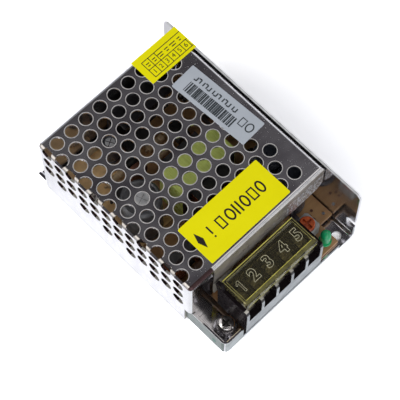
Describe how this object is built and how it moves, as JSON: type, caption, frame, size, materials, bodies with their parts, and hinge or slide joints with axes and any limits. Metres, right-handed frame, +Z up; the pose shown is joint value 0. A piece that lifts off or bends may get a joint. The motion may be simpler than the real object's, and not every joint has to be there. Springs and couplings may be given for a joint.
{
  "type": "enclosed led power adapter",
  "caption": "Enclosed switching power supply with a perforated folded cover, screw terminals under a clear flip cover, a trimmer and an indicator lamp",
  "frame": {"origin": "middle of the case's underside, on the surface it stands on", "axes": "+X from the low left lip to the tall right wall, +Y from the terminals to the back, +Z up"},
  "size_m": [0.0581, 0.085, 0.0311],
  "materials": {
    "plated_sheet": "zinc-plated sheet, satin",
    "screw_steel": "plated screw, bright",
    "film": "dark insulating film",
    "laminate": "tan board laminate",
    "black_moulding": "black moulded plastic, half gloss",
    "tinned_brass": "tin-plated brass",
    "smoky_clear": "clear smoky plastic, glossy",
    "white_moulding": "white moulded plastic",
    "orange_moulding": "orange moulded plastic",
    "green_lens": "green tinted clear resin",
    "tinned_wire": "tinned wire",
    "ferrite": "dark ferrite, matt",
    "winding_tape": "yellow polyester tape",
    "grey_sleeve": "grey can top and dark sleeve",
    "dark_sleeve": "dark printed sleeve",
    "brown_case": "brown moulded box",
    "brown_dip": "brown dipped coating",
    "fuse_tube": "pale ceramic tube",
    "dark_dip": "dark green dipped coating",
    "copper_wire": "enamelled copper wire",
    "bare_aluminium": "bare aluminium sheet",
    "dark_aluminium": "dark anodised aluminium sheet",
    "plated_steel": "nickel-plated steel",
    "resistor_coat": "tan lacquer",
    "yellow_paper": "yellow printed paper",
    "pale_paper": "pale printed paper"
  },
  "bodies": {
    "case": {"chassis": "plated_sheet", "cover": "plated_sheet", "cover_screws": "screw_steel", "insulating_sheet": "film", "circuit_board": "laminate", "board_screws": "screw_steel", "earth_screw": "screw_steel", "terminal_block": "black_moulding", "terminal_contacts": "tinned_brass", "trimmer_body": "white_moulding", "indicator_led": "green_lens", "led_leads": "tinned_wire", "transformer_core": "ferrite", "transformer_bobbin": "black_moulding", "transformer_winding": "copper_wire", "transformer_tape": "winding_tape", "bulk_capacitor": "grey_sleeve", "output_capacitors": "dark_sleeve", "bias_capacitor": "dark_sleeve", "line_capacitor": "brown_case", "bridging_capacitor": "brown_dip", "fuse": "fuse_tube", "surge_limiter": "dark_dip", "filter_choke_core": "ferrite", "filter_choke_windings": "copper_wire", "bridge_rectifier": "black_moulding", "output_choke_core": "ferrite", "output_choke_winding": "copper_wire", "transistor_heatsink": "dark_aluminium", "switching_transistor": "black_moulding", "rectifier_heatsink": "bare_aluminium", "output_rectifier": "black_moulding", "device_screws": "screw_steel", "optocoupler": "black_moulding", "controller_chip": "black_moulding", "resistors": "resistor_coat", "diodes": "black_moulding", "caution_label": "yellow_paper", "inspection_label": "pale_paper", "seal_label": "yellow_paper"},
    "flip_cover": {"terminal_cover": "smoky_clear"},
    "rotor": {"trimmer_rotor": "orange_moulding"},
    "clamp_1": {"clamp_plate_1": "plated_steel"},
    "screw_1": {"terminal_screw_1": "plated_steel"},
    "clamp_2": {"clamp_plate_2": "plated_steel"},
    "screw_2": {"terminal_screw_2": "plated_steel"},
    "clamp_3": {"clamp_plate_3": "plated_steel"},
    "screw_3": {"terminal_screw_3": "plated_steel"},
    "clamp_4": {"clamp_plate_4": "plated_steel"},
    "screw_4": {"terminal_screw_4": "plated_steel"},
    "clamp_5": {"clamp_plate_5": "plated_steel"},
    "screw_5": {"terminal_screw_5": "plated_steel"}
  },
  "joints": [
    {"name": "flip_cover_hinge", "type": "hinge", "parent": "case", "child": "flip_cover", "pos_m": [-0.0026, -0.0304, 0.02], "axis": [-1, 0, 0], "range_deg": [0, 90]},
    {"name": "trimmer_turn", "type": "hinge", "parent": "case", "child": "rotor", "pos_m": [0.01777, -0.0321, 0.0095], "axis": [0, 0, 1], "range_deg": [-105, 105]},
    {"name": "clamp_1_lift", "type": "slide", "parent": "case", "child": "clamp_1", "axis": [0, 0, 1], "range_m": [0, 0.0025]},
    {"name": "screw_1_turn", "type": "hinge", "parent": "clamp_1", "child": "screw_1", "pos_m": [-0.0153, -0.0363, 0.01325], "axis": [0, 0, 1], "range_deg": [0, 1800]},
    {"name": "clamp_2_lift", "type": "slide", "parent": "case", "child": "clamp_2", "axis": [0, 0, 1], "range_m": [0, 0.0025]},
    {"name": "screw_2_turn", "type": "hinge", "parent": "clamp_2", "child": "screw_2", "pos_m": [-0.00895, -0.0363, 0.01325], "axis": [0, 0, 1], "range_deg": [0, 1800]},
    {"name": "clamp_3_lift", "type": "slide", "parent": "case", "child": "clamp_3", "axis": [0, 0, 1], "range_m": [0, 0.0025]},
    {"name": "screw_3_turn", "type": "hinge", "parent": "clamp_3", "child": "screw_3", "pos_m": [-0.0026, -0.0363, 0.01325], "axis": [0, 0, 1], "range_deg": [0, 1800]},
    {"name": "clamp_4_lift", "type": "slide", "parent": "case", "child": "clamp_4", "axis": [0, 0, 1], "range_m": [0, 0.0025]},
    {"name": "screw_4_turn", "type": "hinge", "parent": "clamp_4", "child": "screw_4", "pos_m": [0.00375, -0.0363, 0.01325], "axis": [0, 0, 1], "range_deg": [0, 1800]},
    {"name": "clamp_5_lift", "type": "slide", "parent": "case", "child": "clamp_5", "axis": [0, 0, 1], "range_m": [0, 0.0025]},
    {"name": "screw_5_turn", "type": "hinge", "parent": "clamp_5", "child": "screw_5", "pos_m": [0.0101, -0.0363, 0.01325], "axis": [0, 0, 1], "range_deg": [0, 1800]}
  ],
  "couplings": [
    {"joint": "screw_1_turn", "follows": "clamp_1_lift", "rad_per_m": 12566},
    {"joint": "screw_2_turn", "follows": "clamp_2_lift", "rad_per_m": 12566},
    {"joint": "screw_3_turn", "follows": "clamp_3_lift", "rad_per_m": 12566},
    {"joint": "screw_4_turn", "follows": "clamp_4_lift", "rad_per_m": 12566},
    {"joint": "screw_5_turn", "follows": "clamp_5_lift", "rad_per_m": 12566}
  ]
}
